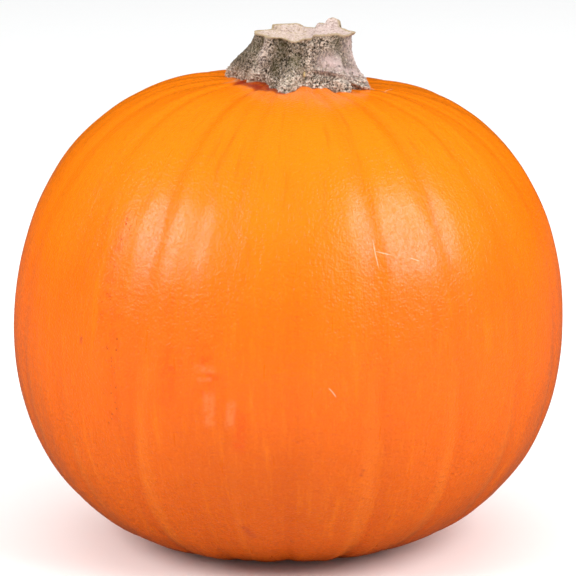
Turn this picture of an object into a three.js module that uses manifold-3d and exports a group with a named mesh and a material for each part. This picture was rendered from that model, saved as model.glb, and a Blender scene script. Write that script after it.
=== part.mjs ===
// A ripe round pumpkin as picked: the orange fruit and the cut woody stem that stands on its crown.
// Millimetres, +Z up. The viewer of the photograph looks along +Y, so the fruit's front faces -Y.
// An azimuth is counted from the front (-Y), in degrees, and grows towards +X.
import * as THREE from "three";
import { mergeVertices } from "three/addons/utils/BufferGeometryUtils.js";
import Module from "manifold-3d";

// Driving dimensions of the fruit
const WIDEST_RADIUS = 125;
const CROWN_HEIGHT = 115.4; // from the widest girth up to the crown
const UNDERSIDE_DEPTH = 102; // from the widest girth down to the underside
const CROWN_CURVE = { pole: 0.724, waist: 0.969 }; // below 1 is flatter than an ellipse, at the pole and waist
const UNDERSIDE_CURVE = { pole: 0.661, waist: 0.973 };
const LOPSIDED_ABOVE = 0.0245; // the left shoulder stands higher than the right by this share
const LOPSIDED_BELOW = 0.0184;
const LEAN_ABOVE = 2.9; // how far the crown leans to the right
const LEAN_BELOW = 0.3; // how far the underside leans to the left
const RIB_RISE = 0.7; // how far the ribs stand out of the mean skin, to make up for the furrows

// The dip that the stem stands in, the hollow at the blossom end and the scar button inside it
const SEAT = { x: 12, y: 8, depth: 5.5, radius: 46 };
const BLOSSOM_HOLLOW = { depth: 6, radius: 20 };
const BLOSSOM_BUTTON = { height: 1.2, radius: 6.5 };
const REST_LIFT = 2.3; // the resting pads are cut this far above the lowest point of the bare underside
const REST_BLEND = 0.25; // half the height over which a pad's rim rounds into the rib

// Furrows: azimuth below and above the girth, depth below and above it, and half width in degrees
const FURROWS = [
  [-163, -160, 1.2, 1.1, 3.0],
  [-144, -142, 1.5, 1.3, 3.2],
  [-125, -126, 1.0, 0.9, 2.8],
  [-107, -105, 1.4, 1.2, 3.0],
  [-89, -86, 1.1, 0.9, 3.0],
  [-72, -68, 1.3, 1.0, 3.0],
  [-56, -50, 1.0, 0.8, 2.8],
  [-36, -29, 1.5, 1.3, 2.8],
  [-21, -20, 0.7, 0.9, 2.5],
  [-14, -12, 0.7, 0.9, 2.5],
  [0.5, -1, 1.5, 0.5, 3.2],
  [20.7, 17, 1.6, 1.0, 2.6],
  [40, 33, 1.3, 1.5, 2.8],
  [58, 50, 1.2, 0.9, 2.8],
  [75, 69, 1.2, 1.0, 3.0],
  [92, 89, 1.4, 1.1, 3.0],
  [110, 108, 1.0, 0.9, 2.8],
  [127, 127, 1.5, 1.3, 3.2],
  [146, 144, 1.1, 1.0, 3.0],
  [164, 163, 1.4, 1.2, 3.0],
  [181, 182, 1.0, 0.9, 2.8],
];
const FURROW_FADE_RADIUS = 34; // furrows run out inside this radius, at both ends of the fruit
const FURROW_AT_GIRTH = 0.55; // share of its depth that a furrow keeps at the widest girth

// The stem: its foot on the crown, its neck at the cut, and the cut's height above the girth
const FOOT = { x: 2.6, y: -5, radius: 21.5 };
const NECK = { x: 3.8, y: -4.5, radius: 20 };
const CUT_HEIGHT = 134;
const CUT_DISH = 1.4; // how far the pith at the middle of the cut has sunk
const CUT_LIP = 0.4; // how far the cut edge stands out past the side
const LIP_START = 0.93; // the lip and the ear begin at this level of the side
const CUT_EAR = { azimuth: 84, reach: 1.8, halfWidth: 16 }; // a shred of skin bent out at the right
const TOE_POWER = { mean: 1.25, right: 0.25, front: 0.75 }; // how late the side spreads into its toes
const STEM_ROOT = 6; // how far the stem is drawn below the crown before the crown trims it
const SEAT_GAP = 0.3; // clearance between the stem and the rind

// Stem ridges: azimuth at the neck and at the toe, height at the neck and at the toe, half width in degrees
const RIDGES = [
  [-146, -146, 1.4, 10, 13],
  [-100, -106, 1.6, 13.5, 16],
  [-78, -81, 1.2, 3.5, 9],
  [-46, -62, 1.8, 5, 8],
  [-33, -31, 1, 4.2, 7],
  [-8, -13, 1.2, 11.5, 9],
  [9, 5, 1, 0.6, 4],
  [27, 21, 1.6, 2.4, 9],
  [47, 43, 1, 10.5, 8],
  [68, 67, 1.4, 12, 9.5],
  [92, 92, 1.8, 5, 10],
  [122, 122, 1.5, 11, 14],
  [150, 150, 0.9, 5, 9],
  [178, 178, 1.5, 11, 13],
];

// The cut's broken rim, as level steps: middle azimuth and half span, the ramps before and after it,
// height, and place and depth along the radius
const RIM_MARKS = [
  [134.3, 5.8, 2.5, 10, 3, 0.93, 0.2],
  [170, 5, 7, 9, -0.75, 1, 0.3],
  [-156, 15, 13, 2.5, 1.15, 1, 0.3],
  [-137.5, 1, 1.5, 36, -0.8, 1, 0.3],
  [-12, 1, 16, 16, -1.3, 1, 0.4],
];

// The right part of the cut stands a step higher: where the step starts, its slant, its edge and its far side
const CUT_STEP = { x: 3.6, slant: 0.055, edge: 1.2, height: 1.5, fadeFrom: 14.5, fadeTo: 18.5 };

const DEGREE = Math.PI / 180;

// How far the angle a lies from b, in degrees, the short way round.
function turnBetween(a, b) {
  return ((((a - b + 180) % 360) + 360) % 360) - 180;
}

function smoothStep(t) {
  const held = Math.min(Math.max(t, 0), 1);
  return held * held * (3 - 2 * held);
}

// The plain outline of one half: reach runs from 0 at the pole to 1 at the widest girth.
function outline(reach, height, curve) {
  const spread = Math.min(reach, 1) ** (1 / curve.pole);
  return [WIDEST_RADIUS * reach, height * Math.sqrt(1 - spread * spread) ** curve.waist];
}

// The outward direction of that outline, from two points close to the one asked for.
function outwardAt(turn, height, curve) {
  const step = 0.002;
  const [nearRadius, nearRise] = outline(Math.sin(Math.max(turn - step, 0)), height, curve);
  const [farRadius, farRise] = outline(Math.sin(Math.min(turn + step, Math.PI / 2)), height, curve);
  const length = Math.hypot(farRadius - nearRadius, farRise - nearRise);
  return [(nearRise - farRise) / length, (farRadius - nearRadius) / length];
}

// A furrow's azimuth and depth at a share of the way from the underside, 0, to the crown, 1.
function furrowAt(furrow, share) {
  const [below, above, depthBelow, depthAbove, halfWidth] = furrow;
  return {
    azimuth: below + (above - below) * share,
    depth: depthBelow + (depthAbove - depthBelow) * smoothStep(share),
    halfWidth,
  };
}

// How deep the furrows together cut at an azimuth: each is a rounded valley with long soft sides.
// Between them the ribs stand out, which counts as less than nothing.
function furrowDepth(azimuth, share) {
  return FURROWS.reduce((sum, furrow) => {
    const { azimuth: middle, depth, halfWidth } = furrowAt(furrow, share);
    return sum + depth / (1 + (turnBetween(azimuth, middle) / halfWidth) ** 2);
  }, -RIB_RISE);
}

// The crown's own fall to the right and its dip round the stem, added to a bare height.
function crownShape(x, y, height) {
  const fallen = height * (1 - (LOPSIDED_ABOVE * x) / WIDEST_RADIUS);
  const away = Math.hypot(x - SEAT.x, y - SEAT.y) / SEAT.radius;
  return fallen - SEAT.depth * Math.exp(-(away * away));
}

// The underside's slant, its blossom hollow and the button in it, then the flat pads that it rests on.
function undersideShape(x, radius, height) {
  const slantShare = smoothStep((radius / WIDEST_RADIUS - 0.3) / 0.3);
  const slanted = height * (1 - (LOPSIDED_BELOW * slantShare * x) / WIDEST_RADIUS);
  const hollow = BLOSSOM_HOLLOW.depth * Math.exp(-((radius / BLOSSOM_HOLLOW.radius) ** 2));
  const button = BLOSSOM_BUTTON.height * Math.exp(-((radius / BLOSSOM_BUTTON.radius) ** 4));
  const clear = slanted + hollow - button + UNDERSIDE_DEPTH - REST_LIFT;
  const rest = REST_LIFT - UNDERSIDE_DEPTH;
  if (clear <= -REST_BLEND) return rest;
  if (clear >= REST_BLEND) return rest + clear;
  return rest + (clear + REST_BLEND) ** 2 / (4 * REST_BLEND);
}

// One point of the rind. turn is the angle from the pole of its half, 0 at the pole, in radians.
function rindPoint(azimuth, turn, upper) {
  const curve = upper ? CROWN_CURVE : UNDERSIDE_CURVE;
  const height = upper ? CROWN_HEIGHT : UNDERSIDE_DEPTH;
  const [bareRadius, bareRise] = outline(Math.sin(turn), height, curve);
  const [outward, upward] = outwardAt(turn, height, curve);
  const level = bareRise / height;
  const share = 0.5 + (upper ? level : -level) / 2;
  const strength = FURROW_AT_GIRTH + (1 - FURROW_AT_GIRTH) * level * level;
  const fade = smoothStep(bareRadius / FURROW_FADE_RADIUS);
  const depth = furrowDepth(azimuth, share) * strength * fade;
  const radius = bareRadius - depth * outward;
  const rise = bareRise - depth * upward;
  const x = radius * Math.sin(azimuth * DEGREE);
  const y = -radius * Math.cos(azimuth * DEGREE);
  const z = upper ? crownShape(x, y, rise) : undersideShape(x, radius, -rise);
  const lean = upper ? LEAN_ABOVE : LEAN_BELOW;
  return [x + (lean * z) / CROWN_HEIGHT, y, z];
}

// The crown's height over a point, with no furrows, for setting the stem on it.
function crownHeightAt(x, y) {
  const fromAxis = x - LEAN_ABOVE;
  const radius = Math.hypot(fromAxis, y);
  const [, rise] = outline(radius / WIDEST_RADIUS, CROWN_HEIGHT, CROWN_CURVE);
  return crownShape(fromAxis, y, rise);
}

// A closed surface from rings of points listed from the bottom pole to the top pole, as a geometry.
function closedSkin(bottomPole, rings, topPole) {
  const around = rings[0].length;
  const points = [bottomPole, ...rings.flat(), topPole];
  const at = (ring, column) => 1 + ring * around + (column % around);
  const faces = [];
  for (let column = 0; column < around; column++) {
    faces.push(0, at(0, column + 1), at(0, column));
    for (let ring = 0; ring + 1 < rings.length; ring++) {
      faces.push(at(ring, column), at(ring, column + 1), at(ring + 1, column + 1));
      faces.push(at(ring, column), at(ring + 1, column + 1), at(ring + 1, column));
    }
    const last = rings.length - 1;
    faces.push(at(last, column), at(last, column + 1), points.length - 1);
  }
  const geometry = new THREE.BufferGeometry();
  geometry.setAttribute("position", new THREE.Float32BufferAttribute(points.flat(), 3));
  geometry.setIndex(faces);
  return geometry;
}

// The fruit: columns follow the furrows, so that each valley is an edge, and rings crowd towards the poles.
const COLUMNS_PER_RIB = [0, 0.14, 0.36, 0.64, 0.86];
const RINGS_PER_HALF = 19;
const RING_CROWDING = 1.35;

function ringAzimuths(share) {
  return FURROWS.flatMap((furrow, index) => {
    const start = furrowAt(furrow, share).azimuth;
    const next = FURROWS[(index + 1) % FURROWS.length];
    const span = (furrowAt(next, share).azimuth - start + 360) % 360;
    return COLUMNS_PER_RIB.map((part) => start + span * part);
  });
}

function fruitRing(turn, upper) {
  const curve = upper ? CROWN_CURVE : UNDERSIDE_CURVE;
  const [, level] = outline(Math.sin(turn), 1, curve);
  const share = 0.5 + (upper ? level : -level) / 2;
  return ringAzimuths(share).map((azimuth) => rindPoint(azimuth, turn, upper));
}

function fruitGeometry() {
  const turns = Array.from(
    { length: RINGS_PER_HALF },
    (_, ring) => (Math.PI / 2) * ((ring + 1) / RINGS_PER_HALF) ** RING_CROWDING,
  );
  const lower = turns.map((turn) => fruitRing(turn, false));
  const upper = turns
    .slice(0, -1)
    .reverse()
    .map((turn) => fruitRing(turn, true));
  return closedSkin(rindPoint(0, 0, false), [...lower, ...upper], rindPoint(0, 0, true));
}

// The stem: rings from the root, up the ridged side, over the lip and in across the dished cut
const STEM_COLUMNS = 120;
const SIDE_LEVELS = [0, 0.07, 0.16, 0.28, 0.42, 0.56, 0.7, 0.84, LIP_START, 1];
const CUT_REACHES = [0.95, 0.84, 0.7, 0.54, 0.36, 0.18];
const ROOT_REACHES = [0.45, 1];

// How far the side has spread at a level: 0 at the cut and 1 at the foot, slow at both ends.
function spreadAt(azimuth, level) {
  const front = Math.max(Math.cos(azimuth * DEGREE), 0);
  const power = TOE_POWER.mean + TOE_POWER.right * Math.sin(azimuth * DEGREE) + TOE_POWER.front * front * front;
  return smoothStep(1 - level) ** power;
}

function ridgeHeight(azimuth, level) {
  const spread = spreadAt(azimuth, level);
  return RIDGES.reduce((sum, [aboveAt, belowAt, atNeck, atToe, halfWidth]) => {
    const middle = aboveAt + (belowAt - aboveAt) * (1 - level);
    const height = atNeck + (atToe - atNeck) * spread;
    return sum + height * Math.exp(-((turnBetween(azimuth, middle) / halfWidth) ** 2));
  }, 0);
}

// A point at a level of the stem's side, 0 at the foot and 1 at the cut, seen in plan.
function stemPlan(azimuth, level, reach = 1) {
  const ear = CUT_EAR.reach * Math.exp(-((turnBetween(azimuth, CUT_EAR.azimuth) / CUT_EAR.halfWidth) ** 2));
  const lip = (CUT_LIP + ear) * smoothStep((level - LIP_START) / (1 - LIP_START));
  const flare = (FOOT.radius - NECK.radius) * spreadAt(azimuth, level);
  const side = NECK.radius + flare + ridgeHeight(azimuth, level) + lip;
  const radius = side * reach;
  const x = LEAN_ABOVE + FOOT.x + (NECK.x - FOOT.x) * level + radius * Math.sin(azimuth * DEGREE);
  const y = FOOT.y + (NECK.y - FOOT.y) * level - radius * Math.cos(azimuth * DEGREE);
  return [x, y];
}

// The sawn end: dished, with a broken rim and a higher right part whose edge runs from front to back.
function cutHeight(azimuth, reach, x, y) {
  const marks = RIM_MARKS.reduce((sum, [middle, halfSpan, before, after, height, place, depth]) => {
    const offset = turnBetween(azimuth, middle);
    const risen = smoothStep((offset + halfSpan + before) / before);
    const left = smoothStep((halfSpan + after - offset) / after);
    return sum + height * risen * left * Math.exp(-(((reach - place) / depth) ** 2));
  }, 0);
  const right = x - LEAN_ABOVE - NECK.x;
  const edge = CUT_STEP.x + CUT_STEP.slant * (y - NECK.y + NECK.radius);
  const faded = smoothStep((CUT_STEP.fadeTo - right) / (CUT_STEP.fadeTo - CUT_STEP.fadeFrom));
  const raised = CUT_STEP.height * smoothStep((right - edge) / CUT_STEP.edge) * faded;
  return CUT_HEIGHT + marks + raised - CUT_DISH * (1 - reach * reach);
}

function stemSidePoint(azimuth, level) {
  const [footX, footY] = stemPlan(azimuth, 0);
  const foot = crownHeightAt(footX, footY);
  const [x, y] = stemPlan(azimuth, level);
  const [rimX, rimY] = stemPlan(azimuth, 1);
  return [x, y, foot + (cutHeight(azimuth, 1, rimX, rimY) - foot) * level];
}

function stemCutPoint(azimuth, reach) {
  const [x, y] = stemPlan(azimuth, 1, reach);
  return [x, y, cutHeight(azimuth, reach, x, y)];
}

function stemRootPoint(azimuth, reach) {
  const [x, y] = stemPlan(azimuth, 0, reach);
  return [x, y, crownHeightAt(x, y) - STEM_ROOT];
}

function stemGeometry() {
  const azimuths = Array.from({ length: STEM_COLUMNS }, (_, column) => (column * 360) / STEM_COLUMNS);
  const ringOf = (point, amount) => azimuths.map((azimuth) => point(azimuth, amount));
  const rings = [
    ...ROOT_REACHES.map((reach) => ringOf(stemRootPoint, reach)),
    ...SIDE_LEVELS.map((level) => ringOf(stemSidePoint, level)),
    ...CUT_REACHES.map((reach) => ringOf(stemCutPoint, reach)),
  ];
  return closedSkin(stemRootPoint(0, 0), rings, stemCutPoint(0, 0));
}

// The crown trims the stem's foot: the fruit, raised by the seat gap, is cut away from the stem.
const wasm = await Module();
wasm.setup();

function toSolid(geometry) {
  const bare = new THREE.BufferGeometry();
  bare.setAttribute("position", geometry.getAttribute("position"));
  bare.setIndex(geometry.getIndex());
  const merged = mergeVertices(bare, 1e-4);
  return new wasm.Manifold(
    new wasm.Mesh({
      numProp: 3,
      vertProperties: merged.getAttribute("position").array,
      triVerts: new Uint32Array(merged.getIndex().array),
    }),
  );
}

function toGeometry(solid) {
  const mesh = solid.getMesh();
  const geometry = new THREE.BufferGeometry();
  geometry.setAttribute("position", new THREE.BufferAttribute(mesh.vertProperties, 3));
  geometry.setIndex(new THREE.BufferAttribute(mesh.triVerts, 1));
  return geometry;
}

const fruitSurface = fruitGeometry();
const fruitSolid = toSolid(fruitSurface);
const stemSurface = toGeometry(toSolid(stemGeometry()).subtract(fruitSolid.translate([0, 0, SEAT_GAP])));

function namedMesh(name, geometry, colour, roughness) {
  geometry.computeVertexNormals();
  const material = new THREE.MeshStandardMaterial({ color: colour, roughness, metalness: 0 });
  const mesh = new THREE.Mesh(geometry, material);
  mesh.name = name;
  return mesh;
}

// The part stands with the middle of its footprint at the origin and its pads on the plane Z = 0.
const pumpkin = new THREE.Group();
pumpkin.add(namedMesh("fruit", fruitSurface, 0xf57a12, 0.38));
pumpkin.add(namedMesh("stem", stemSurface, 0x77745c, 0.85));
const extent = new THREE.Box3().setFromObject(pumpkin);
const middle = extent.getCenter(new THREE.Vector3());
pumpkin.position.set(-middle.x, -middle.y, -extent.min.z);

export default pumpkin;
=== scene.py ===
"""A ripe round pumpkin: its ribbed, pitted rind and its cut, crusted stem, on a pale studio floor.

Lengths are metres, +Z is up, and the front of the fruit faces -Y. An azimuth is counted in degrees
from the front and grows towards +X. Both pieces are grids of points worked out by formula.
"""

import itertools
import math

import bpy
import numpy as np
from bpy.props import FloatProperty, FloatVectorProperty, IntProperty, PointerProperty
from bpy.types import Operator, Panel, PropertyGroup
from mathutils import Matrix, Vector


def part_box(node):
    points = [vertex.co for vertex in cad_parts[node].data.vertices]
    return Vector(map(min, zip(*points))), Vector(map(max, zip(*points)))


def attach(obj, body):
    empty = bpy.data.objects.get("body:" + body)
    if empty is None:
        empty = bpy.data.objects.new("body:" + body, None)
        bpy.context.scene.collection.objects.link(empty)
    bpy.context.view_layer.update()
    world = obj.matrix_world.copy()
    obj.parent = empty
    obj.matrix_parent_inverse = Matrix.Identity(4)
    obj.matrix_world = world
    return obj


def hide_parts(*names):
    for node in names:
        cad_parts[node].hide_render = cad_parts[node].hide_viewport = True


bl_info = {
    "name": "Pumpkin",
    "version": (1, 0, 0),
    "blender": (4, 5, 0),
    "location": "3D View > Sidebar > Pumpkin",
    "description": "Grows a ripe pumpkin with a ribbed rind and a cut stem",
    "category": "Add Mesh",
}

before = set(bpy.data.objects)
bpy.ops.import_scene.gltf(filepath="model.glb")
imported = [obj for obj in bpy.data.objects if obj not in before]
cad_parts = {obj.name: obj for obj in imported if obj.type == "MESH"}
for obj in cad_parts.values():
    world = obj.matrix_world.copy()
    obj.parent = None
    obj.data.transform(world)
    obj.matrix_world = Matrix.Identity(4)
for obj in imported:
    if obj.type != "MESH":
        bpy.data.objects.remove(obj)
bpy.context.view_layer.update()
FRUIT_LOW, FRUIT_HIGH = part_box("fruit")
STEM_LOW, STEM_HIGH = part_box("stem")

MM = 0.001

# The fruit's outline, as shares of its girth radius and of its own height, and its small unevenness
CROWN_HEIGHT = 115.4 * MM
UNDERSIDE_DEPTH = 102 * MM
CROWN_CURVE = (0.724, 0.969)
UNDERSIDE_CURVE = (0.661, 0.973)
LOPSIDED_ABOVE = 0.0245
LOPSIDED_BELOW = 0.0184
LEAN_ABOVE = 2.9 * MM
LEAN_BELOW = 0.3 * MM
RIB_RISE = 0.7 * MM
SEAT = {"x": 12 * MM, "y": 8 * MM, "depth": 5.5 * MM, "radius": 46 * MM}
BLOSSOM_HOLLOW = {"depth": 6 * MM, "radius": 20 * MM}
BLOSSOM_BUTTON = {"height": 1.2 * MM, "radius": 6.5 * MM}
REST_LIFT = 2.3 * MM
REST_BLEND = 0.25 * MM

# Furrows: azimuth below and above the girth, depth below and above it in mm, half width in degrees
FURROWS = (
    (-163, -160, 1.2, 1.1, 3.0),
    (-144, -142, 1.5, 1.3, 3.2),
    (-125, -126, 1.0, 0.9, 2.8),
    (-107, -105, 1.4, 1.2, 3.0),
    (-89, -86, 1.1, 0.9, 3.0),
    (-72, -68, 1.3, 1.0, 3.0),
    (-56, -50, 1.0, 0.8, 2.8),
    (-36, -29, 1.5, 1.3, 2.8),
    (-21, -20, 0.7, 0.9, 2.5),
    (-14, -12, 0.7, 0.9, 2.5),
    (0.5, -1, 1.5, 0.5, 3.2),
    (20.7, 17, 1.6, 1.0, 2.6),
    (40, 33, 1.3, 1.5, 2.8),
    (58, 50, 1.2, 0.9, 2.8),
    (75, 69, 1.2, 1.0, 3.0),
    (92, 89, 1.4, 1.1, 3.0),
    (110, 108, 1.0, 0.9, 2.8),
    (127, 127, 1.5, 1.3, 3.2),
    (146, 144, 1.1, 1.0, 3.0),
    (164, 163, 1.4, 1.2, 3.0),
    (181, 182, 1.0, 0.9, 2.8),
)
FURROW_FADE_RADIUS = 34 * MM
FURROW_AT_GIRTH = 0.55

# The stem's foot and neck, the cut's height over the girth, its lip, and its step to the right part
FOOT = {"x": 2.6 * MM, "y": -5 * MM, "radius": 21.5 * MM}
NECK = {"x": 3.8 * MM, "y": -4.5 * MM, "radius": 20 * MM}
CUT_HEIGHT = 134 * MM
CUT_DISH = 1.4 * MM
CUT_LIP = 0.4 * MM
LIP_START = 0.93
CUT_EAR = {"azimuth": 84, "reach": 1.8 * MM, "half_width": 16}
CUT_STEP = {"x": 3.6, "slant": 0.055, "edge": 1.2, "height": 1.5, "fade_from": 14.5, "fade_to": 18.5}
TOE_POWER = {"mean": 1.25, "right": 0.25, "front": 0.75}

# Ridges: azimuth at the neck and at the toe, height at the neck and at the toe in mm, half width in degrees
RIDGES = (
    (-146, -146, 1.4, 10.0, 13),
    (-100, -106, 1.6, 13.5, 16),
    (-78, -81, 1.2, 3.5, 9),
    (-46, -62, 1.8, 5.0, 8),
    (-33, -31, 1.0, 4.2, 7),
    (-8, -13, 1.2, 11.5, 9),
    (9, 5, 1.0, 0.6, 4),
    (27, 21, 1.6, 2.4, 9),
    (47, 43, 1.0, 10.5, 8),
    (68, 67, 1.4, 12.0, 9.5),
    (92, 92, 1.8, 5.0, 10),
    (122, 122, 1.5, 11.0, 14),
    (150, 150, 0.9, 5.0, 9),
    (178, 178, 1.5, 11.0, 13),
)

# The broken rim: middle azimuth and half span, ramps before and after, height in mm, place and depth
RIM_MARKS = (
    (134.3, 5.8, 2.5, 10, 3.0, 0.93, 0.2),
    (170, 5, 7, 9, -0.75, 1, 0.3),
    (-156, 15, 13, 2.5, 1.15, 1, 0.3),
    (-137.5, 1, 1.5, 36, -0.8, 1, 0.3),
    (-12, 1, 16, 16, -1.3, 1, 0.4),
)

# Patches of the stem's skin: azimuth, level, their half widths, and strength
DARK_PATCHES = (
    (-27, 0.82, 9, 0.3, 1.0),
    (-32, 0.4, 8, 0.3, 1.0),
    (-62, 0.86, 8, 0.13, 0.9),
    (50, 0.8, 6, 0.18, 0.8),
    (-92, 0.6, 14, 0.4, 0.5),
    (-2, 0.75, 5, 0.3, 0.4),
    (128, 0.6, 9, 0.5, 0.8),
    (-160, 0.5, 9, 0.6, 0.8),
    (165, 0.7, 7, 0.3, 0.6),
)
LILAC_PATCHES = (
    (36, 0.48, 17, 0.18, 1.0),
    (58, 0.3, 16, 0.14, 1.0),
    (80, 0.55, 18, 0.5, 0.95),
    (72, 0.2, 9, 0.2, 0.6),
    (-52, 0.7, 6, 0.3, 0.35),
    (150, 0.45, 16, 0.25, 0.8),
    (-130, 0.35, 14, 0.2, 0.7),
)
BRUISED_PATCHES = (
    (-64, 0.06, 26, 0.14, 0.9),
    (-92, 0.1, 12, 0.14, 0.6),
    (150, 0.05, 20, 0.1, 0.6),
)
CRUST_PATCHES = (
    (-47, 0.75, 9, 0.3, 0.7),
    (-60, 0.3, 14, 0.25, 0.9),
    (24, 0.8, 14, 0.25, 0.7),
    (9, 0.6, 3, 0.5, 0.9),
    (-8, 0.3, 8, 0.2, 0.6),
    (105, 0.5, 12, 0.4, 0.7),
    (-175, 0.3, 14, 0.3, 0.8),
)


def smooth_step(value):
    """Nothing below 0, all above 1, and a cubic ease between."""
    held = np.clip(value, 0, 1)
    return held * held * (3 - 2 * held)


def turn_between(first, second):
    """How far the first azimuth lies from the second, the short way round, in degrees."""
    return (first - second + 180) % 360 - 180


def bell(offset, half_width):
    """The bell curve exp(-(offset / half_width) squared)."""
    return np.exp(-((offset / half_width) ** 2))


def gradient_noise(points, seed):
    """Smooth noise of about -1 to 1: slopes drawn at the corners of unit cells, eased into each other."""
    draw = np.random.default_rng(seed)
    order = np.tile(draw.permutation(256), 2)
    slopes = draw.normal(size=(256, 3))
    slopes /= np.linalg.norm(slopes, axis=1, keepdims=True)
    cell = np.floor(points).astype(int)
    part = points - cell
    ease = part**3 * (part * (part * 6 - 15) + 10)
    total = np.zeros(points.shape[:-1])
    for corner in itertools.product((0, 1), repeat=3):
        x, y, z = np.moveaxis((cell + corner) & 255, -1, 0)
        slope = slopes[order[order[order[x] + y] + z]]
        weight = np.prod(np.where(np.array(corner) == 1, ease, 1 - ease), axis=-1)
        total += weight * ((part - corner) * slope).sum(axis=-1)
    return total * 1.7


def ridged_noise(points, seed):
    """Noise folded at its zero line, so that thin crests stand at 1 and broad hollows lie near 0."""
    return 1 - np.clip(np.abs(gradient_noise(points, seed)) * 2.2, 0, 1)


def stacked(*parts):
    """Three grids of coordinates as one grid of points."""
    return np.stack(np.broadcast_arrays(*parts), axis=-1)


def speckled(points, seed, share, size):
    """Round specks of about 1: bell curves round drawn points, one in each unit cell that has one."""
    draw = np.random.default_rng(seed)
    order = np.tile(draw.permutation(256), 2)
    places = draw.uniform(0.2, 0.8, size=(256, 3))
    tall = np.where(draw.random(256) < share, draw.uniform(0.4, 1, 256), 0)
    cell = np.floor(points).astype(int)
    highest = np.zeros(points.shape[:-1])
    for corner in itertools.product((-1, 0, 1), repeat=3):
        x, y, z = np.moveaxis((cell + corner) & 255, -1, 0)
        drawn = order[order[order[x] + y] + z]
        away = ((points - cell - corner - places[drawn]) ** 2).sum(axis=-1)
        highest = np.maximum(highest, tall[drawn] * np.exp(-away / (size * (0.5 + tall[drawn])) ** 2))
    return highest


def surface_normals(points):
    """The outward unit normal at each point of a grid whose rows rise and whose columns run round."""
    across = np.roll(points, -1, axis=1) - np.roll(points, 1, axis=1)
    up = np.gradient(points, axis=0)
    normal = np.cross(across, up)
    return normal / np.maximum(np.linalg.norm(normal, axis=-1, keepdims=True), 1e-12)


def outline(reach, height, curve, girth):
    """Radius and height of one half's outline, where reach runs from 0 at the pole to 1 at the girth.

    The height is a power of the square root of 1 - spread squared, with spread a power of the reach.
    """
    pole, waist = curve
    spread = np.minimum(reach, 1) ** (1 / pole)
    return girth * reach, height * np.sqrt(np.maximum(1 - spread * spread, 0)) ** waist


def furrow_depth(azimuth, share):
    """The furrows' depth less the ribs' rise: each is depth / (1 + (offset / half width) squared)."""
    total = np.full(np.broadcast(azimuth, share).shape, -RIB_RISE)
    for below, above, depth_below, depth_above, half_width in FURROWS:
        middle = below + (above - below) * share
        depth = (depth_below + (depth_above - depth_below) * smooth_step(share)) * MM
        total += depth / (1 + (turn_between(azimuth, middle) / half_width) ** 2)
    return total


def fine_relief(azimuth, latitude):
    """Height of the small unevenness between the furrows.

    It is noise over the cosine and sine of the azimuth, so it closes on itself, and it changes slowly
    along a meridian: narrow rib lines, wider swells and soft dents of every direction.
    """
    around = np.radians(azimuth)
    east, north = np.sin(around), np.cos(around)
    lines = gradient_noise(stacked(9.5 * east, 9.5 * north, 0.8 * latitude), 11)
    swells = gradient_noise(stacked(4.2 * east, 4.2 * north, 0.7 * latitude + 7), 12)
    ring = np.cos(latitude)
    dents = gradient_noise(stacked(5 * east * ring, 5 * north * ring, 5 * np.sin(latitude)), 13)
    return (0.42 * lines + 0.34 * swells + 0.3 * dents) * MM


def crown_shape(x, y, height, girth):
    """The crown's fall to the right, and the dip where the stem stands, whose depth is a bell curve."""
    fallen = height * (1 - LOPSIDED_ABOVE * x / girth)
    away = np.hypot(x - SEAT["x"], y - SEAT["y"])
    return fallen - SEAT["depth"] * bell(away, SEAT["radius"])


def underside_shape(x, radius, height, girth):
    """The underside's slant, its hollow and button, and the pads it rests on, cut flat with a soft rim."""
    slant = smooth_step((radius / girth - 0.3) / 0.3)
    slanted = height * (1 - LOPSIDED_BELOW * slant * x / girth)
    hollow = BLOSSOM_HOLLOW["depth"] * bell(radius, BLOSSOM_HOLLOW["radius"])
    button = BLOSSOM_BUTTON["height"] * np.exp(-((radius / BLOSSOM_BUTTON["radius"]) ** 4))
    clear = slanted + hollow - button + UNDERSIDE_DEPTH - REST_LIFT
    rounded = (np.clip(clear, -REST_BLEND, REST_BLEND) + REST_BLEND) ** 2 / (4 * REST_BLEND)
    return REST_LIFT - UNDERSIDE_DEPTH + np.where(clear > REST_BLEND, clear, rounded)


def rind_half(azimuth, turn, upper, girth, relief=1.0):
    """Points of one half of the rind, and its furrow depth there.

    turn is the angle from that half's pole: the outline's reach is its sine. The furrows and the fine
    relief move the outline's point along its outward normal, and fade out towards the pole.
    """
    height = CROWN_HEIGHT if upper else UNDERSIDE_DEPTH
    curve = CROWN_CURVE if upper else UNDERSIDE_CURVE
    radius, rise = outline(np.sin(turn), height, curve, girth)
    step = 0.002
    near_radius, near_rise = outline(np.sin(np.maximum(turn - step, 0)), height, curve, girth)
    far_radius, far_rise = outline(np.sin(np.minimum(turn + step, math.pi / 2)), height, curve, girth)
    length = np.hypot(far_radius - near_radius, far_rise - near_rise)
    outward, upward = (near_rise - far_rise) / length, (far_radius - near_radius) / length
    level = rise / height
    share = 0.5 + (level if upper else -level) / 2
    strength = FURROW_AT_GIRTH + (1 - FURROW_AT_GIRTH) * level * level
    fade = smooth_step(radius / FURROW_FADE_RADIUS)
    latitude = (math.pi / 2 - turn) * (1 if upper else -1)
    depth = furrow_depth(azimuth, share) * strength * fade
    moved = depth - relief * fine_relief(azimuth, latitude) * fade
    radius = radius - moved * outward
    rise = rise - moved * upward
    around = np.radians(azimuth)
    x, y = radius * np.sin(around), -radius * np.cos(around)
    z = crown_shape(x, y, rise, girth) if upper else underside_shape(x, radius, -rise, girth)
    lean = LEAN_ABOVE if upper else LEAN_BELOW
    return stacked(x + lean * z / CROWN_HEIGHT, y, z), depth, latitude + 0 * azimuth


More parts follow.
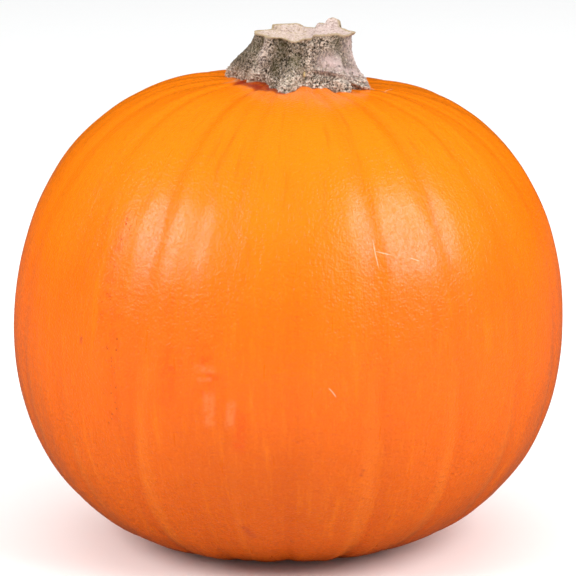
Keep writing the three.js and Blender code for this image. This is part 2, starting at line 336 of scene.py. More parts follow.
def crown_height_at(x, y, girth):
    """The crown's height over a point of the plan, with no furrows."""
    from_axis = x - LEAN_ABOVE
    radius = np.hypot(from_axis, y)
    _, rise = outline(radius / girth, CROWN_HEIGHT, CROWN_CURVE, girth)
    return crown_shape(from_axis, y, rise, girth)


def spread_at(azimuth, level):
    """How far the side has spread: an ease from 0 at the cut to 1 at the foot, raised to a power."""
    around = np.radians(azimuth)
    front = np.maximum(np.cos(around), 0) ** 2
    power = TOE_POWER["mean"] + TOE_POWER["right"] * np.sin(around) + TOE_POWER["front"] * front
    return smooth_step(1 - level) ** power


def ridge_height(azimuth, level):
    """The stem's ridges: bell curves round it, whose heights grow with the spread into the toes."""
    spread = spread_at(azimuth, level)
    total = np.zeros(spread.shape)
    for above, below, at_neck, at_toe, half_width in RIDGES:
        middle = above + (below - above) * (1 - level)
        height = (at_neck + (at_toe - at_neck) * spread) * MM
        total += height * bell(turn_between(azimuth, middle), half_width)
    return total


def stem_plan(azimuth, level, reach=1.0):
    """A point of the stem's side seen in plan, from the foot at level 0 to the cut at level 1."""
    ear = CUT_EAR["reach"] * bell(turn_between(azimuth, CUT_EAR["azimuth"]), CUT_EAR["half_width"])
    lip = (CUT_LIP + ear) * smooth_step((level - LIP_START) / (1 - LIP_START))
    flare = (FOOT["radius"] - NECK["radius"]) * spread_at(azimuth, level)
    side = NECK["radius"] + flare + ridge_height(azimuth, level) + lip
    around = np.radians(azimuth)
    x = LEAN_ABOVE + FOOT["x"] + (NECK["x"] - FOOT["x"]) * level + side * reach * np.sin(around)
    y = FOOT["y"] + (NECK["y"] - FOOT["y"]) * level - side * reach * np.cos(around)
    return x, y


def cut_height(azimuth, reach, x, y):
    """The height of the sawn end: dished, with a broken rim and a higher right part.

    A mark is a plateau with a ramp before and after it, times a bell curve along the radius. The right
    part rises over a slanting edge from front to back and fades out before the rim.
    """
    marks = np.zeros(np.broadcast(azimuth, reach).shape)
    for middle, half_span, before, after, height, place, depth in RIM_MARKS:
        offset = turn_between(azimuth, middle)
        risen = smooth_step((offset + half_span + before) / before)
        left = smooth_step((half_span + after - offset) / after)
        marks += height * MM * risen * left * bell(reach - place, depth)
    right = (x - LEAN_ABOVE - NECK["x"]) / MM
    edge = CUT_STEP["x"] + CUT_STEP["slant"] * (y - NECK["y"] + NECK["radius"]) / MM
    faded = smooth_step((CUT_STEP["fade_to"] - right) / (CUT_STEP["fade_to"] - CUT_STEP["fade_from"]))
    raised = CUT_STEP["height"] * MM * smooth_step((right - edge) / CUT_STEP["edge"]) * faded
    return CUT_HEIGHT + marks + raised - CUT_DISH * (1 - reach * reach)


def patch(azimuth, level, places):
    """Soft-edged patches: the highest of products of bell curves over azimuth and level."""
    total = np.zeros(np.broadcast(azimuth, level).shape)
    for middle, place, half_width, half_height, strength in places:
        across = bell(turn_between(azimuth, middle), half_width)
        total = np.maximum(total, strength * across * bell(level - place, half_height))
    return total


def frame_move(points):
    """The scale and move that set a rind worked out about its own girth into the frame's fruit box."""
    low, high = points.min(axis=(0, 1)), points.max(axis=(0, 1))
    scale = (np.array(FRUIT_HIGH) - np.array(FRUIT_LOW)) / (high - low)
    return scale, np.array(FRUIT_LOW) - low * scale


def rind_grid(columns, rows, girth, relief=1.0):
    """All rings of the rind from the lower pole to the upper one, with furrow depth and latitude."""
    azimuth = np.linspace(-180, 180, columns, endpoint=False)[None, :]
    turns = (math.pi / 2) * (np.arange(1, rows // 2 + 1) / (rows // 2))[:, None] ** 1.15
    lower = rind_half(azimuth, turns, False, girth, relief)
    upper = rind_half(azimuth, turns[-2::-1], True, girth, relief)
    points, depth, latitude = (np.concatenate(pair) for pair in zip(lower, upper))
    return points, depth, latitude, azimuth + 0 * latitude


def placed(name, data):
    """A new object in the scene."""
    item = bpy.data.objects.new(name, data)
    bpy.context.scene.collection.objects.link(item)
    return item


def closed_mesh(name, rings, low_pole, high_pole):
    """One closed smooth mesh from rings of points, listed upwards, and a point at each end."""
    rows, columns = rings.shape[:2]
    points = np.concatenate([[low_pole], rings.reshape(-1, 3), [high_pole]])
    column = np.arange(columns)
    after = (column + 1) % columns
    row = np.arange(rows - 1)[:, None] * columns + 1
    quads = stacked(row + column, row + after, row + columns + after).reshape(-1, 3)
    quads = np.concatenate([quads, (row + columns + column).reshape(-1, 1)], axis=1)
    top = (rows - 1) * columns + 1
    bottom_fan = np.stack([np.zeros(columns, int), 1 + after, 1 + column], axis=1)
    top_fan = np.stack([top + column, top + after, np.full(columns, len(points) - 1)], axis=1)
    mesh = bpy.data.meshes.new(name)
    mesh.from_pydata(points.tolist(), [], bottom_fan.tolist() + quads.tolist() + top_fan.tolist())
    mesh.polygons.foreach_set("use_smooth", np.ones(len(mesh.polygons), bool))
    mesh.update()
    return placed(name, mesh)


def write_attributes(piece, grids, poles):
    """Stores one number a point for each named grid, with its values at the two poles, or 0 there."""
    for name, grid in grids.items():
        low, high = poles.get(name, (0, 0))
        values = np.concatenate([[low], np.ravel(grid), [high]]).astype(np.float32)
        piece.data.attributes.new(name, "FLOAT", "POINT").data.foreach_set("value", values)


def fill(tree, made, inputs):
    """Links a node's inputs to sockets, or sets them to values."""
    for name, value in inputs.items():
        if isinstance(value, bpy.types.NodeSocket):
            tree.links.new(value, made.inputs[name])
        else:
            made.inputs[name].default_value = value


def node(tree, kind, inputs=None, **settings):
    """A new node with its settings and inputs."""
    made = tree.nodes.new(kind)
    for name, value in settings.items():
        setattr(made, name, value)
    fill(tree, made, inputs or {})
    return made


def maths(tree, operation, *values):
    """The result of a Math node."""
    return node(tree, "ShaderNodeMath", dict(enumerate(values)), operation=operation).outputs["Value"]


def times(tree, first, second):
    """The product of two values."""
    return maths(tree, "MULTIPLY", first, second)


def remap(tree, value, low, high, to_low=0.0, to_high=1.0):
    """Eases a value from one range to another and holds it there."""
    inputs = {"Value": value, "From Min": low, "From Max": high, "To Min": to_low, "To Max": to_high}
    return node(tree, "ShaderNodeMapRange", inputs, interpolation_type="SMOOTHSTEP").outputs["Result"]


def tint(tree, factor, first, second):
    """One colour laid over another by a factor."""
    inputs = {0: factor}
    for index, colour in ((6, first), (7, second)):
        inputs[index] = colour if isinstance(colour, bpy.types.NodeSocket) else (*colour, 1)
    return node(tree, "ShaderNodeMix", inputs, data_type="RGBA", clamp_factor=True).outputs[2]


def layered(tree, colour, tints, masks):
    """A colour with named tints laid over it in turn, each by its mask."""
    for name, mask in masks.items():
        colour = tint(tree, mask, colour, tints[name])
    return colour


def noise(tree, vector, scale, detail=2.0, roughness=0.5):
    """The value of a Noise Texture."""
    inputs = {"Vector": vector, "Scale": scale, "Detail": detail, "Roughness": roughness}
    return node(tree, "ShaderNodeTexNoise", inputs).outputs["Fac"]


def stored(tree, name, kind="Fac"):
    """A number or vector stored on the mesh."""
    return node(tree, "ShaderNodeAttribute", attribute_name=name).outputs[kind]


def new_group(name, vectors, numbers):
    """An empty shader node group with named vectors and numbers as inputs, which puts out one mask."""
    tree = bpy.data.node_groups.new(name, "ShaderNodeTree")
    for socket in vectors:
        tree.interface.new_socket(socket, in_out="INPUT", socket_type="NodeSocketVector")
    for socket, value in numbers.items():
        made = tree.interface.new_socket(socket, in_out="INPUT", socket_type="NodeSocketFloat")
        made.default_value = value
    tree.interface.new_socket("Mask", in_out="OUTPUT", socket_type="NodeSocketFloat")
    return tree, tree.nodes.new("NodeGroupInput").outputs, tree.nodes.new("NodeGroupOutput").inputs


def speckle_group():
    """Scattered round specks: 1 at the middle of some cells of a pattern, and 0 between them."""
    numbers = {"Spacing": 0.003, "Size": 0.3, "Share": 0.5}
    tree, given, wanted = new_group("Speckle", ["Vector"], numbers)
    scale = maths(tree, "DIVIDE", 1.0, given["Spacing"])
    cells = node(tree, "ShaderNodeTexVoronoi", {"Vector": given["Vector"], "Scale": scale})
    chance = node(tree, "ShaderNodeSeparateColor", {"Color": cells.outputs["Color"]}).outputs["Red"]
    chosen = maths(tree, "LESS_THAN", chance, given["Share"])
    size = times(tree, given["Size"], maths(tree, "ADD", chance, 0.6))
    round_speck = remap(tree, maths(tree, "DIVIDE", cells.outputs["Distance"], size), 1.0, 0.4)
    tree.links.new(times(tree, round_speck, chosen), wanted["Mask"])
    return tree


def mark_group():
    """A long soft mark on a surface: 1 along a bent line through its centre, and 0 away from it."""
    vectors = ("Centre", "Along", "Across", "Outward")
    tree, given, wanted = new_group("Mark", vectors, {"Length": 0.01, "Width": 0.001, "Bend": 0.0})
    place = node(tree, "ShaderNodeTexCoord").outputs["Object"]
    offset = node(tree, "ShaderNodeVectorMath", {0: place, 1: given["Centre"]}, operation="SUBTRACT")

    def measured(direction):
        inputs = {0: offset.outputs["Vector"], 1: given[direction]}
        return node(tree, "ShaderNodeVectorMath", inputs, operation="DOT_PRODUCT").outputs["Value"]

    along = measured("Along")
    bow = times(tree, times(tree, along, along), given["Bend"])
    across = maths(tree, "ABSOLUTE", maths(tree, "SUBTRACT", measured("Across"), bow))
    lengthwise = maths(tree, "DIVIDE", maths(tree, "ABSOLUTE", along), given["Length"])
    slender = remap(tree, maths(tree, "DIVIDE", across, given["Width"]), 0.5, 0.1)
    ends = remap(tree, lengthwise, 0.5, 0.25)
    near = remap(tree, maths(tree, "ABSOLUTE", measured("Outward")), 0.02, 0.015)
    tree.links.new(times(tree, times(tree, slender, ends), near), wanted["Mask"])
    return tree


def grouped(tree, name, build, inputs):
    """The mask of a group placed in a material, built the first time it is asked for."""
    shared = bpy.data.node_groups.get(name) or build()
    return node(tree, "ShaderNodeGroup", inputs, node_tree=shared).outputs["Mask"]


def speckle(tree, vector, spacing, size, share):
    """The mask of scattered round specks."""
    inputs = {"Vector": vector, "Spacing": spacing, "Size": size, "Share": share}
    return grouped(tree, "Speckle", speckle_group, inputs)


# Marks on the rind: centre about the girth's middle, tilt in degrees from level, length and width, and
# the bow of the middle line as a share of its length; all lengths in mm
MARKS = {
    "pale_nicks": (
        (37.5, -108.8, 53.8, -84, 15, 0.8, 0.08),
        (40.9, -107.1, 55.0, -16, 8.5, 0.75, 0.05),
        (54.2, -103.7, 50.2, -22, 5.5, 0.7, 0),
        (18.0, -123.9, -1.9, -52, 6, 0.9, -0.14),
    ),
    # Pale lines along creases of the crown beside the stem: painted highlights
    "crown_glints": (
        (39.8, -15.5, 109.2, -12, 19, 1.1, 0.03),
        (45.2, -12.5, 108.4, -14, 13, 0.9, 0),
        (-24.2, -10.2, 112.8, 52, 24, 2.4, 0.1),
    ),
    "red_flushes": (
        (-35.1, -119.5, 12.4, 85, 15, 10, 0),
        (-34.2, -120.2, 0.3, 60, 16, 13, 0),
        (-49.9, -113.0, 1.2, 80, 32, 14, 0),
        (-20.0, -122.2, -19.3, 85, 24, 9, 0),
    ),
    "pale_rubs": (
        (-35.3, -119.8, 6.7, 0, 12, 5, 0),
        (-34.4, -120.2, 2.8, 3, 8, 3, 0),
        (-33.3, -120.1, -10.2, 88, 20, 8, 0),
        (-24.3, -122.1, -11.9, 84, 16, 6, 0),
    ),
    "brown_bruises": (
        (-17.6, -101.0, -70.5, -64, 13, 5, 0),
        (-89.5, -86.0, 11.5, 84, 4.5, 3, 0),
        (32.1, -114.0, -40.5, 80, 5, 3, 0),
    ),
    "rough_bands": (
        (-75.1, -92.4, 41.8, 86, 70, 10, 0),
        (-75.0, -99.4, 6.0, 88, 80, 13, 0),
        (-74.5, -97.9, -12.2, 82, 26, 13, 0),
    ),
}


def colour_setting(name, description, default):
    """A colour among the settings."""
    given = {"name": name, "description": description, "default": default}
    return FloatVectorProperty(**given, size=3, subtype="COLOR", min=0, max=1)


def length_setting(name, description, default, least):
    """A length among the settings."""
    return FloatProperty(name=name, description=description, default=default, min=least, unit="LENGTH")


class RindSettings(PropertyGroup):
    """Sizes and colours of the rind."""

    girth_radius: length_setting("Girth radius", "Radius of the fruit at its widest", 125 * MM, 0.05)
    columns: IntProperty(name="Columns", description="Points round the fruit", default=416, min=60)
    rows: IntProperty(name="Rows", description="Rings from the underside to the crown", default=232, min=30)
    orange: colour_setting("Orange", "Colour of the ripe rind", (0.84, 0.132, 0.0012))
    golden: colour_setting("Golden", "Yellower colour of the upper ribs", (0.88, 0.198, 0.0015))
    # Darker orange than the ripe rind: low on the fruit it is partly painted shade, and it also tints
    # random streaks
    deep_and_shaded: colour_setting("Deep orange", "Redder colour low on the fruit", (0.67, 0.102, 0.0012))
    scar: colour_setting("Scar", "Corky colour of the blossom scar", (0.3, 0.17, 0.08))


class StemSettings(PropertyGroup):
    """Sizes and colours of the stem."""

    columns: IntProperty(name="Columns", description="Points round the stem", default=560, min=60)
    side_rows: IntProperty(name="Side rows", description="Rings up the side", default=118, min=20)
    cut_rows: IntProperty(name="Cut rows", description="Rings across the cut", default=54, min=10)
    bark: colour_setting("Bark", "Grey-brown of the dry skin", (0.23, 0.172, 0.115))
    olive: colour_setting("Olive", "Dark green-brown in the grooves", (0.045, 0.035, 0.012))
    crust: colour_setting("Crust", "Pale corky crust", (0.68, 0.565, 0.46))
    bloom: colour_setting("Bloom", "Lilac-grey film on the right of the stem", (0.6, 0.465, 0.44))
    pith: colour_setting("Pith", "Pink-white of the cut end", (0.57, 0.43, 0.38))


class StageSettings(PropertyGroup):
    """Floor, lights and camera."""

    floor_size: length_setting("Floor size", "Side of the square floor", 12.0, 1)
    camera_distance: length_setting("Camera distance", "From the lens to the middle of the girth", 1.5, 0.5)
    camera_elevation: FloatProperty(
        name="Camera elevation",
        description="How far above level the camera stands",
        default=math.radians(13),
        subtype="ANGLE",
    )
    floor_colour: colour_setting("Floor", "Colour of the floor", (0.98, 0.99, 0.99))


def new_material(name):
    """A node material with its Principled BSDF."""
    material = bpy.data.materials.new(name)
    material.use_nodes = True
    return material, material.node_tree, material.node_tree.nodes["Principled BSDF"]


def mark_masks(tree, marks, points, normals, middle):
    """The marks of one kind, each set on the rind's nearest grid point, together as one mask."""
    together = None
    for x, y, z, tilt, length, width, bow in marks:
        away = np.linalg.norm(points - middle - np.array((x, y, z)) * MM, axis=-1)
        index = np.unravel_index(np.argmin(away), away.shape)
        centre, outward = points[index], normals[index]
        level = np.cross((0, 0, 1), outward)
        level /= np.linalg.norm(level)
        upright = np.cross(outward, level)
        turn = math.radians(tilt)
        cosine, sine = math.cos(turn), math.sin(turn)
        inputs = {
            "Centre": centre,
            "Along": level * cosine + upright * sine,
            "Across": upright * cosine - level * sine,
            "Outward": outward,
            "Length": length * MM,
            "Width": width * MM,
            "Bend": bow / (length * MM),
        }
        mask = grouped(tree, "Mark", mark_group, inputs)
        together = mask if together is None else maths(tree, "MAXIMUM", together, mask)
    return together


RIND_TINTS = {
    "bright streak": (0.88, 0.22, 0.004),
    # painted shade: the furrows are darkened
    "furrow_shade": (0.58, 0.065, 0.001),
    # painted light: the outer flanks of the furrows are lightened
    "painted_flank_light": (0.88, 0.22, 0.015),
    "grain": (0.9, 0.24, 0.006),
    "pore": (0.9, 0.3, 0.03),
    "fleck": (0.45, 0.06, 0.005),
    "flush": (0.76, 0.092, 0.001),
    "rub": (0.8, 0.21, 0.06),
    "rough skin": (0.72, 0.095, 0.001),
    "pock": (0.5, 0.06, 0.001),
    "bruise": (0.42, 0.05, 0.02),
    "nick": (0.85, 0.45, 0.28),
    # painted highlights on creases of the crown
    "crease glint": (0.85, 0.36, 0.16),
    "cork": (0.55, 0.37, 0.2),
    # painted shadow: dark red shade on the rind round the stem's foot
    "painted shadow": (0.3, 0.025, 0.002),
}
RIPPLE_DEPTH = 0.3 * MM
WRINKLE_DEPTH = 0.22 * MM
PIT_DEPTH = 0.26 * MM


def rind_material(settings, points, normals, middle):
    """Orange rind: golden above and darker towards the bottom, partly as painted shade; streaked along the
    ribs, pitted, wrinkled and flecked; with painted shade in the furrows, painted light on their outer
    flanks, painted highlights on the crown's creases and a painted dark red shadow round the stem's foot.
    """
    material, tree, shader = new_material("rind")
    place = node(tree, "ShaderNodeTexCoord").outputs["Object"]
    height = node(tree, "ShaderNodeSeparateXYZ", {"Vector": place}).outputs["Z"]
    ribwise = stored(tree, "ribwise", "Vector")
    stretch = {0: ribwise, 1: (11, 11, 520)}
    ringwise = node(tree, "ShaderNodeVectorMath", stretch, operation="MULTIPLY").outputs["Vector"]

    def marks(kind):
        return mark_masks(tree, MARKS[kind], points, normals, middle)

    clouds = noise(tree, place, 14, 3)
    streaks = noise(tree, ribwise, 20, 3, 0.6)
    fine_streaks = noise(tree, ribwise, 75, 2, 0.6)
    drift = maths(tree, "MULTIPLY_ADD", clouds, 0.07, height)
    golden, deep_and_shaded = settings.golden, settings.deep_and_shaded
    colour = tint(tree, remap(tree, drift, 0.15, 0.23), settings.orange, golden)
    # The rind turns darker orange towards the bottom: partly painted shade
    colour = tint(tree, remap(tree, drift, 0.16, 0.07), colour, deep_and_shaded)
    colour = tint(tree, remap(tree, streaks, 0.55, 0.75, 0, 0.35), colour, golden)
    colour = tint(tree, remap(tree, streaks, 0.45, 0.25, 0, 0.4), colour, deep_and_shaded)
    grain = noise(tree, place, 900, 2, 0.6)
    pores = speckle(tree, place, 0.0042, 0.16, 0.45)
    patchy = noise(tree, place, 260, 3, 0.65)
    band = marks("rough_bands")
    pocks = times(tree, band, speckle(tree, place, 0.002, 0.32, 0.55))
    masks = {
        "bright streak": remap(tree, fine_streaks, 0.5, 0.75, 0, 0.16),
        # painted shade: the furrows are darkened, more so low on the fruit
        "furrow_shade": times(tree, stored(tree, "furrow_shade"), remap(tree, height, 0.13, 0.08, 0.16, 0.3)),
        # painted light: the outer flank of each furrow is lightened, low on the fruit only
        "painted_flank_light": times(tree, stored(tree, "painted_flank_light"), remap(tree, height, 0.12, 0.06, 0, 0.22)),
        "grain": remap(tree, grain, 0.35, 0.75, 0, 0.12),
        "pore": times(tree, pores, 0.16),
        "fleck": times(tree, speckle(tree, place, 0.0105, 0.06, 0.35), 0.35),
        "flush": times(tree, marks("red_flushes"), remap(tree, patchy, 0.38, 0.62, 0.1, 0.75)),
        "rub": times(tree, marks("pale_rubs"), remap(tree, patchy, 0.35, 0.6, 0.1, 0.55)),
        "rough skin": times(tree, band, remap(tree, patchy, 0.4, 0.65, 0.1, 0.5)),
        "pock": times(tree, pocks, 0.85),
        "bruise": times(tree, marks("brown_bruises"), remap(tree, patchy, 0.25, 0.65, 0.1, 0.6)),
        "nick": times(tree, marks("pale_nicks"), 0.6),
        # painted highlights: pale glints along creases of the crown
        "crease glint": times(tree, marks("crown_glints"), 0.8),
    }
    colour = layered(tree, colour, RIND_TINTS, masks)
    scar = stored(tree, "scar")
    cracks = noise(tree, place, 420, 4, 0.7)
    corky = tint(tree, remap(tree, cracks, 0.35, 0.65), settings.scar, RIND_TINTS["cork"])
    colour = tint(tree, scar, colour, corky)
    # painted shadow: dark red shade on the rind round the stem's foot, widest at its left front
    contact_shadow = stored(tree, "contact_shadow")
    smeared = times(tree, contact_shadow, remap(tree, patchy, 0.3, 0.6, 0.65, 1))
    colour = tint(tree, smeared, colour, RIND_TINTS["painted shadow"])

    dull = maths(tree, "MULTIPLY_ADD", noise(tree, ribwise, 30, 2), 0.12, 0.24)
    corked = maths(tree, "MAXIMUM", scar, times(tree, contact_shadow, 0.8))
    pits = node(tree, "ShaderNodeTexVoronoi", {"Vector": place, "Scale": 900}, feature="SMOOTH_F1")
    uneven = times(tree, pits.outputs["Distance"], remap(tree, patchy, 0.3, 0.6, 0.5, 1.4))
    pitted = maths(tree, "MULTIPLY_ADD", grain, 0.7, uneven)
    pitted = maths(tree, "SUBTRACT", pitted, times(tree, pores, 0.4))
    pitted = maths(tree, "SUBTRACT", pitted, times(tree, pocks, 1.2))
    pitted = maths(tree, "ADD", pitted, times(tree, scar, times(tree, cracks, 6)))
    wrinkles = noise(tree, ringwise, 1, 2, 0.5)
    wrinkled = times(tree, wrinkles, remap(tree, noise(tree, place, 45, 2), 0.42, 0.62))
    dents = noise(tree, place, 190, 2, 0.55)
    uneven_skin = maths(tree, "MULTIPLY_ADD", dents, 1.5, fine_streaks)
    ripple = node(tree, "ShaderNodeBump", {"Height": uneven_skin, "Distance": RIPPLE_DEPTH})
    fold = {"Height": wrinkled, "Distance": WRINKLE_DEPTH, "Normal": ripple.outputs["Normal"]}
    folded = node(tree, "ShaderNodeBump", fold)
    skin = {"Height": pitted, "Distance": PIT_DEPTH, "Normal": folded.outputs["Normal"]}
    inputs = {
        "Base Color": colour,
        "Roughness": maths(tree, "ADD", dull, times(tree, corked, 0.4)),
        "IOR": 1.31,
        "Specular IOR Level": 0.4,
        "Coat Weight": remap(tree, noise(tree, place, 640, 3, 0.6), 0.37, 0.63, 0.25, 0.7),
        "Coat Roughness": 0.22,
        "Coat IOR": 1.4,
        "Normal": node(tree, "ShaderNodeBump", skin).outputs["Normal"],
    }
    fill(tree, shader, inputs)
    return material


def foot_offset(x, y):
    """How far a point of the plan lies outside the stem's foot, the foot's radius, and the azimuth."""
    from_x, from_y = x - LEAN_ABOVE - FOOT["x"], y - FOOT["y"]
    azimuth = np.degrees(np.arctan2(from_x, -from_y))
    radius = FOOT["radius"] + ridge_height(azimuth, 0.0)
    return np.hypot(from_x, from_y) - radius, radius, azimuth


def swollen(points):
    """The rind where the flesh swells up between the stem's toes: a bell curve just outside the foot."""
    outside, radius, _ = foot_offset(points[..., 0], points[..., 1])
    between_toes = smooth_step((27 * MM - radius) / (5 * MM))
    rise = 1.2 * MM * between_toes * bell(outside, 4 * MM)
    upper = points[..., 2] > 0
    return points + stacked(0 * rise, 0 * rise, np.where(upper, rise, 0))


# The painted contact shadow's dark red reach from the stem's foot, all round and where it is smeared, and
# the scar's size
CONTACT_SHADOW = {"all_round": 2.5 * MM, "smear": 10 * MM, "azimuth": -46, "half_width": 26}
SHADOW_AND_SCAR_EDGE = 4 * MM
SCAR_RADIUS = 9.5 * MM


class PUMPKIN_OT_grow_rind(Operator):
    """Grow the fruit's whole skin over its solid"""

    bl_idname = "pumpkin.grow_rind"
    bl_label = "Grow rind"

    def execute(self, context):
        settings = context.scene.pumpkin_rind
        girth = settings.girth_radius
        points, depth, latitude, azimuth = rind_grid(settings.columns, settings.rows, girth)
        scale, move = frame_move(points)
        outside, _, round_foot = foot_offset(points[..., 0], points[..., 1])
        # The painted shadow round the stem's foot reaches furthest at its left front
        smear = bell(turn_between(round_foot, CONTACT_SHADOW["azimuth"]), CONTACT_SHADOW["half_width"])
        shadow_reach = CONTACT_SHADOW["all_round"] + CONTACT_SHADOW["smear"] * smear
        # The flank of each furrow that faces away from the front, towards the side lights, is painted
        # lighter as painted light
        outwards = np.clip(turn_between(azimuth, 0) / 8, -1, 1)
        steepness = outwards * (np.roll(depth, -2, axis=1) - np.roll(depth, 2, axis=1))
        upper = points[..., 2] > 0
        radius = np.hypot(points[..., 0], points[..., 1])
        points = swollen(points) * scale + move
        pole = np.full((1, 1), 1e-6)
        low_pole = rind_half(0 * pole, pole, False, girth)[0][0, 0] * scale + move
        high_pole = rind_half(0 * pole, pole, True, girth)[0][0, 0] * scale + move
        rind = closed_mesh("rind", points, low_pole, high_pole)
        grids = {
            # the furrow depth, which paints shade into the furrows
            "furrow_shade": np.clip((depth + 0.25 * MM) / MM, 0, 1),
            "painted_flank_light": smooth_step((steepness - 0.18 * MM) / (0.3 * MM)),
            "scar": np.where(upper, 0, smooth_step((SCAR_RADIUS - radius) / SHADOW_AND_SCAR_EDGE)),
            # painted shadow round the stem's foot
            "contact_shadow": np.where(upper, smooth_step((shadow_reach - outside) / SHADOW_AND_SCAR_EDGE), 0),
        }
        write_attributes(rind, grids, {"scar": (1, 0), "contact_shadow": (0, 1)})
        around = np.radians(azimuth)
        ribwise = stacked(np.cos(around), np.sin(around), 0.16 * latitude).reshape(-1, 3)
        ribwise = np.concatenate([[(0, 0, -0.25)], ribwise, [(0, 0, 0.25)]]).astype(np.float32)
        attribute = rind.data.attributes.new("ribwise", "FLOAT_VECTOR", "POINT")
        attribute.data.foreach_set("vector", ribwise.ravel())
        rind.data.materials.append(rind_material(settings, points, surface_normals(points), move))
        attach(rind, "root")
        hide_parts("fruit")
        return {"FINISHED"}


STEM_TINTS = {
    "shade": (0.016, 0.01, 0.004),
    "green": (0.085, 0.08, 0.03),
    "lilac crust": (0.76, 0.64, 0.6),
    "granule": (0.86, 0.74, 0.63),
    "bruise": (0.34, 0.16, 0.085),
    "straw": (0.56, 0.43, 0.3),
    "pink": (0.58, 0.44, 0.41),
    "pale fibre": (0.7, 0.58, 0.53),
    "dark fibre": (0.3, 0.21, 0.14),
    "speck": (0.22, 0.15, 0.1),
    "rim": (0.42, 0.32, 0.17),
    "thorn": (0.85, 0.66, 0.3),
}
STEM_GRAIN_DEPTH = 0.5 * MM


def stem_material(settings):
    """Dry stem: dark olive grooves, grey-brown skin with painted shade between its grains, pale crust and
    dots, lilac film, painted shade under its fold and a pale cut end.
    """
    material, tree, shader = new_material("stem")
    place = node(tree, "ShaderNodeTexCoord").outputs["Object"]
    shared = ("crust", "dark", "lilac", "dots", "belt")
    crust, dark, lilac, dots, belt = (stored(tree, name) for name in shared)
    mottle = noise(tree, place, 420, 4, 0.65)
    grain = noise(tree, place, 900, 3, 0.6)
    crinkle = noise(tree, place, 700, 2, 0.5)
    away = maths(tree, "ABSOLUTE", maths(tree, "SUBTRACT", crinkle, 0.5))
    curls = remap(tree, away, 0.04, 0.012)

    crusted = times(tree, crust, remap(tree, grain, 0.35, 0.55, 0.4, 1))
    dotted = maths(tree, "MAXIMUM", dots, times(tree, speckle(tree, place, 0.0019, 0.36, 0.62), belt))
    tints = {
        **STEM_TINTS,
        "olive": settings.olive,
        "film": settings.bloom,
        "crust": tint(tree, lilac, settings.crust, STEM_TINTS["lilac crust"]),
    }
    masks = {
        "green": times(tree, remap(tree, noise(tree, place, 130, 2), 0.55, 0.68), 0.5),
        # olive patches, and painted shade in the hollow under the fold
        "olive": times(tree, dark, remap(tree, grain, 0.6, 0.52, 0.45, 1)),
        "film": times(tree, lilac, remap(tree, mottle, 0.36, 0.52, 0.25, 1)),
        "crust": maths(tree, "MAXIMUM", crusted, times(tree, curls, belt)),
        "granule": times(tree, dotted, 0.9),
        "bruise": times(tree, stored(tree, "bruised"), 0.6),
    }
    # painted shade: the bark is darkened to near black between its grains
    colour = tint(tree, remap(tree, grain, 0.44, 0.56), STEM_TINTS["shade"], settings.bark)
    colour = layered(tree, colour, tints, masks)

    inner = tint(tree, stored(tree, "pinkish"), STEM_TINTS["straw"], STEM_TINTS["pink"])
    masks = {
        "pale fibre": remap(tree, grain, 0.45, 0.62, 0, 0.8),
        "dark fibre": remap(tree, grain, 0.44, 0.34, 0, 0.8),
        "speck": times(tree, speckle(tree, place, 0.0017, 0.3, 0.4), 0.6),
        "rim": times(tree, stored(tree, "rim"), 0.75),
    }
    face = tint(tree, remap(tree, mottle, 0.4, 0.62), settings.pith, inner)
    face = layered(tree, face, STEM_TINTS, masks)
    colour = tint(tree, stored(tree, "cut"), colour, face)
    raised = maths(tree, "ADD", times(tree, dotted, 0.8), times(tree, curls, 0.4))
    height = maths(tree, "ADD", maths(tree, "ADD", grain, mottle), raised)
    bump = node(tree, "ShaderNodeBump", {"Height": height, "Distance": STEM_GRAIN_DEPTH})
    inputs = {
        "Base Color": tint(tree, stored(tree, "thorn"), colour, STEM_TINTS["thorn"]),
        "Roughness": remap(tree, mottle, 0.3, 0.7, 0.7, 0.95),
        "Specular IOR Level": 0.25,
        "Normal": bump.outputs["Normal"],
    }
    fill(tree, shader, inputs)
    return material


def stem_rings(settings, girth):
    """Rings of the stem from its sunken foot up the side, over the rim and in across the cut.

    The side's height runs evenly from the crown to the rim at each azimuth, by its level.
    """
    azimuth = np.linspace(-180, 180, settings.columns, endpoint=False)[None, :]
    foot_x, foot_y = stem_plan(azimuth, 0.0)
    foot = crown_height_at(foot_x, foot_y, girth)
    sunk = stacked(foot_x, foot_y, foot - 3 * MM)
    levels = np.linspace(0, 1, settings.side_rows)[:, None]
    x, y = stem_plan(azimuth, levels)
    rim_x, rim_y = stem_plan(azimuth, 1.0)
    rim = cut_height(azimuth, 1.0, rim_x, rim_y)
    side = stacked(x, y, foot + (rim - foot) * levels)
    reaches = np.linspace(0.985, 0.02, settings.cut_rows)[:, None] ** 0.8
    cut_x, cut_y = stem_plan(azimuth, 1.0, reaches)
    cut = stacked(cut_x, cut_y, cut_height(azimuth, reaches, cut_x, cut_y))
    points = np.concatenate([sunk, side, cut])
    level = np.concatenate([[[-0.1]], levels, np.full_like(reaches, 1.0)]) + 0 * azimuth
    reach = np.concatenate([[[1.0]], np.ones_like(levels), reaches]) + 0 * azimuth
    return points, level, reach, azimuth + 0 * level


def fold_line(azimuth):
    """The level of the fold that crosses the stem's right side and sinks into its right toe."""
    along = np.clip((azimuth - 17) / 45, 0, 1)
    return 0.36 - 0.08 * along - 0.2 * along**4


THORN = (3.5, 0.3, 1.1, 0.05, 1.0)


